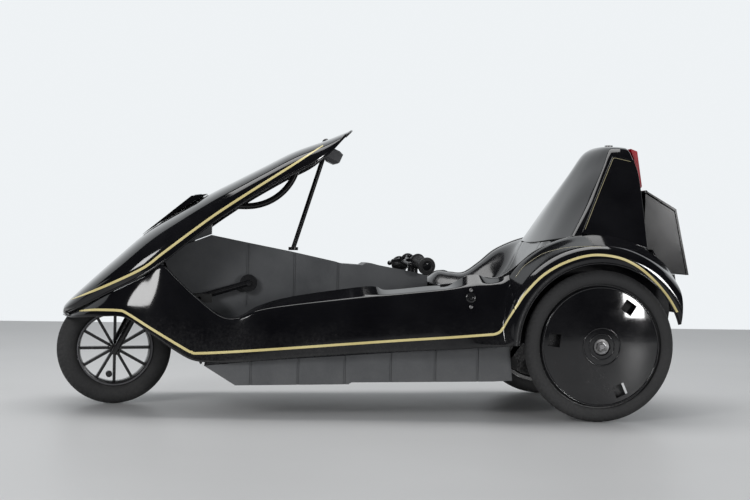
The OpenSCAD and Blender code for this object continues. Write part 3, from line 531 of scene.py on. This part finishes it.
# %% stripes
def follow(G, x, z):
    """Points and normals of the grid G above the places (x, z), all at once."""
    n, m = G.shape[:2]
    N = normals(G)
    flat = G[..., [0, 2]].reshape(-1, 2)
    near = np.array([np.argmin(((flat - p) ** 2).sum(1)) for p in np.stack([x, z], 1)])
    i, j = (near // m).astype(float), (near % m).astype(float)
    for _ in range(14):
        a, b = np.clip(i.astype(int), 0, n - 2), np.clip(j.astype(int), 0, m - 2)
        s, t = (i - a)[:, None], (j - b)[:, None]
        A, B, C, D = G[a, b], G[a + 1, b], G[a, b + 1], G[a + 1, b + 1]
        P = A * (1 - s) * (1 - t) + B * s * (1 - t) + C * (1 - s) * t + D * s * t
        Pi, Pj = (B - A) * (1 - t) + (D - C) * t, (C - A) * (1 - s) + (D - B) * s
        ex, ez = x - P[:, 0], z - P[:, 2]
        det = Pi[:, 0] * Pj[:, 2] - Pi[:, 2] * Pj[:, 0]
        det = np.where(np.abs(det) < 1e-9, 1e-9, det)
        i = np.clip(i + np.clip((ex * Pj[:, 2] - ez * Pj[:, 0]) / det, -1, 1), 0, n - 1.001)
        j = np.clip(j + np.clip((Pi[:, 0] * ez - Pi[:, 2] * ex) / det, -1, 1), 0, m - 1.001)
    a, b = i.astype(int), j.astype(int)
    return P, unit(N[a, b])


def spline(points, step=5.0, round_off=0):
    """Smooth curve through a few (x, z) points at about the given step."""
    P = np.asarray(points, float)
    count = 1 + int(sum(np.linalg.norm(np.diff(P, axis=0), axis=1)) / step)
    C = rows(P, np.linspace(0, len(P) - 1, max(count, 8)))
    return soften(C[None], round_off)[0] if round_off else C


def ribbon(name, G, points, width, body="body", mat="gold_paint", lift=0.35, smooth=0):
    """A closed band of the given width along (x, z) points on the panel G; its section is a low crown."""
    C = np.asarray(points, float)
    T = np.gradient(C, axis=0)
    T /= np.linalg.norm(T, axis=1)[:, None]
    Q = np.stack([-T[:, 1], T[:, 0]], 1)
    across = np.array([-0.5, -0.42, 0.0, 0.42, 0.5]) * width
    rise = np.array([-0.1, lift, lift * 1.5, lift, -0.1])
    ends = [follow(G, *(C + Q * w).T)[0] for w in across[[0, 4]]]
    true = np.linalg.norm(ends[0] - ends[1], axis=1)                    # width on a panel that turns away
    Q *= np.clip(width / np.maximum(true, 1e-6), 0.2, 1)[:, None]
    P, N = zip(*[follow(G, *(C + Q * w).T) for w in across])
    S = np.stack([p + nn * e for p, nn, e in zip(P, N, rise)], 1)
    B = S[:, [4, 0]] - np.stack([N[4], N[0]], 1) * 0.5
    L = np.concatenate([S, B], 1)                                       # seven points round the section
    L = L if np.cross(L[1, 2] - L[0, 2], L[0, 3] - L[0, 1]) @ N[2][0] > 0 else L[::-1]
    n, m = L.shape[:2]
    caps = [np.arange(m)[None, ::-1], ((n - 1) * m + np.arange(m))[None]]
    return make(name, L.reshape(-1, 3) * MM, [quads(n, m, wrap=True)] + caps, M[mat], body)


half = hood_grid.shape[1] // 2
HOOD_LINE = [[838, 297], [794, 315], [725, 345], [638, 389], [586, 430], [506, 493], [441, 542], [346, 607],
             [244, 675], [160, 733]]
SIDE_LINE = [[809, 269], [780, 273.5], [740, 276], [700, 276], [678, 270], [607, 228], [520, 178], [505, 172], [486, 169],
             [353, 178], [91, 200], [-41, 211], [-173, 221], [-270, 230], [-291, 233], [-303, 239], [-312, 250],
             [-322, 270], [-333, 290], [-338, 298.6]]
ARCH_LINE = [[-337.6, 297.6], [-345, 310], [-368, 344], [-415, 392], [-476, 427], [-545, 446], [-615, 441], [-671, 417],
             [-721, 377], [-757, 336], [-781, 298]]
THIN_LINE = [[-352, 382], [-372, 408], [-396, 428], [-430, 449], [-480, 464], [-530, 469], [-575, 468]]
for name, s in (("left", 1), ("right", -1)):
    H = hood_grid[:, half:] if (hood_grid[0, -1, 1] > 0) == (s > 0) else hood_grid[:, :half + 1]
    L = left if s > 0 else right
    L = L if (normals(L)[..., 1] * s).sum() > 0 else L[:, ::-1]
    A = arches[s]
    ribbon("hood_stripe_" + name, H, spline(HOOD_LINE), 7.0)
    ribbon("side_stripe_" + name, L[6:], spline(SIDE_LINE, 4.0, 3), 7.0)
    ribbon("arch_stripe_" + name, A, spline(ARCH_LINE, 4.0), 7.0)
    ribbon("thin_stripe_" + name, A, spline(THIN_LINE, 4.0), 1.5, lift=0.2, mat="pale_line")
    F = fins[s]
    t = np.linspace(0, 1, 61)
    e = F[:, 0] if F[30, 0, 0] > F[30, -1, 0] else F[:, -1]
    e = e if e[0, 2] < e[-1, 2] else e[::-1]
    line = np.stack([e[:, 0] - 5.0, e[:, 2]], 1)[2:-3]
    top = np.stack([np.linspace(line[-1, 0] - 3, -712, 12), np.linspace(line[-1, 1] + 1.2, 711, 12)], 1)
    ribbon("fin_stripe_" + name, F, soften(np.concatenate([line, top])[None], 2)[0], 1.5, lift=0.2, mat="pale_line")
print("stripes laid")

# %% [markdown]
# ## Wheels
# A tyre is its section turned about the hub, with shallow grooves: three round the tread and short cross cuts
# at the shoulders, r' = r - depth * mask(a, h).

# %% wheels
park = math.radians(10.6)
rake = math.radians(27.2)
front_hub = np.array(next(jt["pos_m"] for jt in frame["joints"] if jt["name"] == "front_wheel_spin")) / MM
front_axis = np.array(next(jt["axis"] for jt in frame["joints"] if jt["name"] == "front_wheel_spin"))


def tyre_profile(R, tube_r, cut):
    """Closed section: an arc of the tyre's tube above a flat base at radius R - tube_r - cut."""
    lim = math.asin(min(cut / tube_r, 0.99))
    a = np.linspace(-lim, math.pi + lim, 61)
    prof = np.stack([R - tube_r + tube_r * np.sin(a), tube_r * np.cos(a)], 1)
    return np.concatenate([prof, [[prof[-1, 0], prof[-1, 1] * 0.5], [prof[0, 0], prof[0, 1] * 0.5]]])


def tread(R, tube_r, count, groove):
    def wave(r, h, a):
        top = np.clip((r - (R - tube_r * 0.62)) / (tube_r * 0.25), 0, 1)
        ribs = np.clip(1 - np.abs(np.abs(h) - tube_r * 0.16) / 1.3, 0, 1) + np.clip(1 - np.abs(h) / 1.1, 0, 1) * 0.5
        zig = (a * count / (2 * np.pi) + np.abs(h) * 0.03) % 1
        cuts = (np.abs(zig - 0.5) < 0.14) * np.clip((np.abs(h) - tube_r * 0.3) / 2, 0, 1)
        return r - groove * top * np.maximum(np.clip(ribs, 0, 1), cuts)
    return wave


front = lathe(tyre_profile(159, 29, 24.4), front_hub, front_axis, 480, tread(159, 29, 60, 1.8))
make("front_tyre_skin", *front, M["tyre_rubber"], "front_wheel", ["front_tyre"], 50)
for name, s in (("left", 1), ("right", -1)):
    rear = lathe(tyre_profile(203, 22, 14.9), (-576, 341 * s, 203), (0, 1, 0), 480, tread(203, 22, 80, 1.5))
    make("rear_tyre_skin_" + name, *rear, M["tyre_rubber"], name + "_wheel", ["rear_tyre_" + name], 50)
    body = name + "_wheel"
    centre = (-576, 341 * s, 203)
    ax = (0, s, 0)
    for label, R, h, rr in (("outer", 157.5, 17.6, 2.6), ("middle", 50, 27.0, 2.2), ("inner", 34, 26.4, 2.0)):
        q = np.linspace(0, 2 * np.pi, 17)[:-1]
        prof = np.stack([R + rr * np.cos(q), h + rr * np.sin(q)], 1)
        make("disc_ring_%s_%s" % (label, name), *lathe(prof, centre, ax, 128), M["disc_black"], body)
    cup = [[9, 19], [25.5, 19], [26, 20], [25.8, 24.8], [24.6, 25.6], [22.8, 25], [21.6, 21.8], [9, 21.6]]
    make("hub_cup_" + name, *lathe(cup, centre, ax, 96), M["disc_black"], body, ["hub_cap_" + name])
    cap = [[9, 21.7], [20.2, 21.7], [20.8, 22.4], [20, 23.8], [16, 24.4], [9, 24.4]]
    make("washer_" + name, *lathe(cap, centre, ax, 96), M["bright_steel"], body)
    q = np.linspace(24, 160, 35)
    dome = 27.5 - 10 * (q / 160) ** 2.2
    prof = np.concatenate([np.stack([q, dome], 1), [[161, 16.2]], np.stack([q, dome - 3.5], 1)[::-1]])
    disc = make("disc_skin_" + name, *lathe(prof, centre, ax, 192), M["disc_black"], body,
                ["disc_cover_" + name], 40)
    for deg in (7, 125, 245):
        w = np.radians(-deg)
        cut = bpy.data.meshes.new("cutter")
        c8 = np.array([[x, y, z] for x in (112, 144) for y in (-17, 17) for z in (0, 40)], float)
        rot = np.stack([c8[:, 0] * np.cos(w) - c8[:, 1] * np.sin(w), c8[:, 2], -(c8[:, 0] * np.sin(w)
                        + c8[:, 1] * np.cos(w))], 1) * [1, s, 1] + centre
        cut.from_pydata((rot * MM).tolist(), [], [f[::s] for f in ((0, 1, 3, 2), (4, 6, 7, 5), (0, 4, 5, 1),
                                                                   (2, 3, 7, 6), (0, 2, 6, 4), (1, 5, 7, 3))])
        co = bpy.data.objects.new("cutter", cut)
        bpy.context.scene.collection.objects.link(co)
        md = disc.modifiers.new("hole", "BOOLEAN")
        md.object, md.operation, md.solver = co, "DIFFERENCE", "EXACT"
        deps = bpy.context.evaluated_depsgraph_get()
        done = bpy.data.meshes.new_from_object(disc.evaluated_get(deps))
        disc.modifiers.remove(md)
        disc.data = done
        bpy.data.objects.remove(co)
    disc.data.polygons.foreach_set("use_smooth", np.ones(len(disc.data.polygons), bool))
    disc.data.set_sharp_from_angle(angle=math.radians(40))
    hexa = lambda r, h, a: r * np.where(r > 9.5, 1 / np.cos((a % (np.pi / 3)) - np.pi / 6) * 0.93, 1)
    nut = [[0, 24], [13, 24], [13.4, 24.6], [13.4, 28.4], [12.4, 29.4], [9.4, 29.8], [8, 29.4], [7.6, 28.8],
           [7.4, 30.3], [6.8, 30.8], [0, 30.9]]
    make("axle_nut_" + name, *lathe(nut, centre, ax, 96, hexa), M["bright_steel"], body, smooth=20)
rim_line = [[101.5, 19.2], [104.6, 19.4], [105.4, 20.3], [104.6, 21.2], [101.5, 20.9], [100.6, 20.1]]
for s in (-1, 1):
    make("front_rim_line_%s" % ("left" if s > 0 else "right"),
         *lathe([[r, h] for r, h in rim_line], front_hub, front_axis * s, 160), M["dark_alloy"], "front_wheel")
block = lathe([[0, 0], [7, 0], [9, 1.5], [9, 13], [7, 15], [0, 15]], front_hub + [14, 12, -72], front_axis, 24)
make("spoke_weight", *block, M["black_steel"], "front_wheel")

# %% [markdown]
# ## Handlebar grips, lock, lamp and small parts

# %% small parts
bar = np.array(next(jt["pos_m"] for jt in frame["joints"] if jt["name"] == "handlebar_turn")) / MM
BAR_Z = 424.0
droop = math.radians(9)
for name, s in (("left", 1), ("right", -1)):
    base = np.array([0, s * math.cos(droop), -math.sin(droop)])
    ax = np.array([-math.sin(park) * base[1], math.cos(park) * base[1], base[2]])
    start = np.array([bar[0], 0, BAR_Z])
    h = np.linspace(46, 120, 149)
    ribs = 17.2 + 0.8 * np.clip(np.sin(h * 2 * np.pi / 5.0) * 1.6, -1, 1)
    prof = [[10.2, 42], [20, 42], [22, 43.2], [22, 45.8], [19.5, 46]] + np.stack([ribs, h], 1).tolist() + \
           [[19, 120.2], [23.6, 121], [25, 122.6], [25, 126], [23.4, 127.6], [16, 128], [14.5, 126.4], [10.2, 126]]
    make("grip_skin_" + name, *lathe(prof, start, ax, 96), M["grip_rubber"], "handlebar", ["grip_" + name])
    plug = [[0, 122], [9.6, 122], [12.4, 126.2], [11, 127.2], [5, 127.9], [0, 128]]
    make("grip_plug_" + name, *lathe(plug, start, ax, 48), M["satin_black"], "handlebar")

lock_at = [(-228, 336.4, 303), (-228, 330.2, 347)]
for i, c in enumerate(lock_at):
    screw = [[0, 0], [5, 0], [5.6, 0.8], [5.2, 2.2], [3.6, 3.4], [1.6, 3.8], [0, 3.8]]
    make("lock_screw_%d" % i, *lathe(screw, c, (0.02, 1, 0.1), 32), M["bright_steel"], "body")
barrel = [[0, 0], [13, 0], [14, 1.2], [13.4, 3.4], [11, 4.6], [9.2, 4.8], [9, 3.6], [6, 3.4], [5.8, 6], [4, 6.6],
          [0, 6.6]]
make("lock_barrel", *lathe(barrel, (-228, 331.5, 327), (0.02, 1, 0.1), 48), M["black_steel"], "body", ["key_lock"])

grid = np.stack([np.repeat(np.linspace(511, 491, 9)[:, None], 209, 1), np.repeat(np.linspace(-54, 54, 209)[None], 9, 0),
                 np.linspace(592.2, 595.2, 9)[:, None] + 0.5 * np.abs(np.sin(np.linspace(-54, 54, 209) * np.pi / 6))[None]
                 ], -1)
grid = outward(grid, (0, 0, 1))
make("lamp_ribs", *shell(grid, 2.0), M["lamp_glass"], "body", ["lamp_lens"])
axle_ends = lathe([[0, 0], [7, 0], [8.5, 1.5], [8.5, 6], [7, 8], [0, 8.4]], (356, 90.5, 349), (0, 1, 0), 32)
make("crank_bolt_left", *axle_ends, M["black_steel"], "crankset")
axle_ends = lathe([[0, 0], [7, 0], [8.5, 1.5], [8.5, 6], [7, 8], [0, 8.4]], (356, -90.5, 349), (0, -1, 0), 32)
make("crank_bolt_right", *axle_ends, M["black_steel"], "crankset")
print("small parts done")

# %% [markdown]
# ## Stage
# A pale floor, a plain pale surround, three soft lamps, and a dark card behind the camera that only glossy
# reflections see, so that black gloss reads as black.

# %% stage
floor_mat = bpy.data.materials.new("pale_floor")
floor_mat.use_nodes = True
ft = floor_mat.node_tree
fb = next(n for n in ft.nodes if n.type == "BSDF_PRINCIPLED")
co = put(ft, "ShaderNodeTexCoord")
nz = put(ft, "ShaderNodeTexNoise", [("Vector", co.outputs["Object"]), ("Scale", 1.6), ("Detail", 6.0)])
cr = put(ft, "ShaderNodeMapRange", [("Value", nz.outputs["Fac"]), ("To Min", 0.5), ("To Max", 0.56)])
cc = put(ft, "ShaderNodeCombineColor", [(0, cr.outputs[0]), (1, cr.outputs[0]), (2, cr.outputs[0])])
ft.links.new(cc.outputs[0], fb.inputs["Base Color"])
fb.inputs["Roughness"].default_value = 0.45
fb.inputs["Specular IOR Level"].default_value = 0.22
floor = bpy.data.objects.new("floor", bpy.data.meshes.new("floor"))
floor.data.from_pydata([(-9, -3.6, 0), (9, -3.6, 0), (9, 9, 0), (-9, 9, 0)], [], [(0, 1, 2, 3)])
floor.data.materials.append(floor_mat)
bpy.context.scene.collection.objects.link(floor)
card_mat = bpy.data.materials.new("dark_card")
card_mat.use_nodes = True
cb = next(n for n in card_mat.node_tree.nodes if n.type == "BSDF_PRINCIPLED")
cb.inputs["Base Color"].default_value = (0.012, 0.012, 0.013, 1)
cb.inputs["Roughness"].default_value = 1.0
card = bpy.data.objects.new("card", bpy.data.meshes.new("card"))
a = np.linspace(0, 1, 25) * np.radians(118)
arc = np.stack([7.5 * np.cos(a), 6.0 * np.sin(a)], 1)
cv = np.concatenate([np.stack([np.full(25, x), arc[:, 0], arc[:, 1]], 1) for x in (-9.0, 9.0)]
                    + [[[x, 0.3, z] for x in (-9.0, 9.0) for z in (0, 6.0)]])
card.data.from_pydata(cv.tolist(), [], [(i, i + 1, i + 26, i + 25) for i in range(24)]
                      + [tuple(range(19)) + (51, 50), tuple(range(43, 24, -1)) + (52, 53)])
card.data.materials.append(card_mat)
bpy.context.scene.collection.objects.link(card)
card.visible_camera = card.visible_diffuse = card.visible_shadow = card.visible_transmission = False

world = bpy.data.worlds.new("studio")
bpy.context.scene.world = world
world.use_nodes = True
wt = world.node_tree
wt.nodes.clear()
path = put(wt, "ShaderNodeLightPath")
seen = put(wt, "ShaderNodeMath", [(0, path.outputs["Is Camera Ray"]), (1, path.outputs["Is Glossy Ray"])],
           operation="MAXIMUM")
seen2 = put(wt, "ShaderNodeMath", [(0, seen.outputs[0]), (1, path.outputs["Is Transmission Ray"])],
            operation="MAXIMUM")
soft = put(wt, "ShaderNodeBackground", [("Color", (0.9, 0.93, 0.96, 1)), ("Strength", 0.45)])
pale = put(wt, "ShaderNodeBackground", [("Color", (0.86, 0.89, 0.91, 1)), ("Strength", 1.0)])
mix = put(wt, "ShaderNodeMixShader", [(0, seen2.outputs[0]), (1, soft.outputs[0]), (2, pale.outputs[0])])
out = put(wt, "ShaderNodeOutputWorld", [("Surface", mix.outputs[0])])


def lamp(name, place, aim, power, width, height):
    light = bpy.data.lights.new(name, "AREA")
    light.shape, light.size, light.size_y, light.energy = "RECTANGLE", width, height, power
    ob = bpy.data.objects.new(name, light)
    bpy.context.scene.collection.objects.link(ob)
    ob.location = place
    d = Matrix.Translation(place).inverted() @ Vector(aim)
    ob.rotation_mode = "QUATERNION"
    ob.rotation_quaternion = d.to_track_quat("-Z", "Y")
    return ob


lamp("key", (2.9, 3.7, 2.3), (0.3, 0, 0.3), 70, 1.3, 1.3)
lamp("side", (-2.5, 4.1, 0.86), (-0.5, 0, 0.3), 36, 0.5, 0.62)
lamp("over", (0.0, -0.4, 3.1), (0, 0, 0.2), 60, 3.2, 1.6)

scene = bpy.context.scene
scene.view_settings.view_transform = "Standard"
cam = bpy.data.objects.new("camera", bpy.data.cameras.new("camera"))
scene.collection.objects.link(cam)
R_ = np.array([-0.99360, 0.11129, 0.01916]); D_ = np.array([-0.01832, 0.00857, -0.99980])
W_ = np.array([-0.11144, -0.99375, -0.00648])
cam.matrix_world = Matrix([[R_[k], -D_[k], -W_[k], p] for k, p in enumerate((0.4176, 3.7819, 0.4714))]
                          + [[0, 0, 0, 1]])
cam.data.sensor_width, cam.data.lens = 36.0, 63.35
cam.data.clip_start, cam.data.clip_end = 0.05, 100
scene.camera = cam
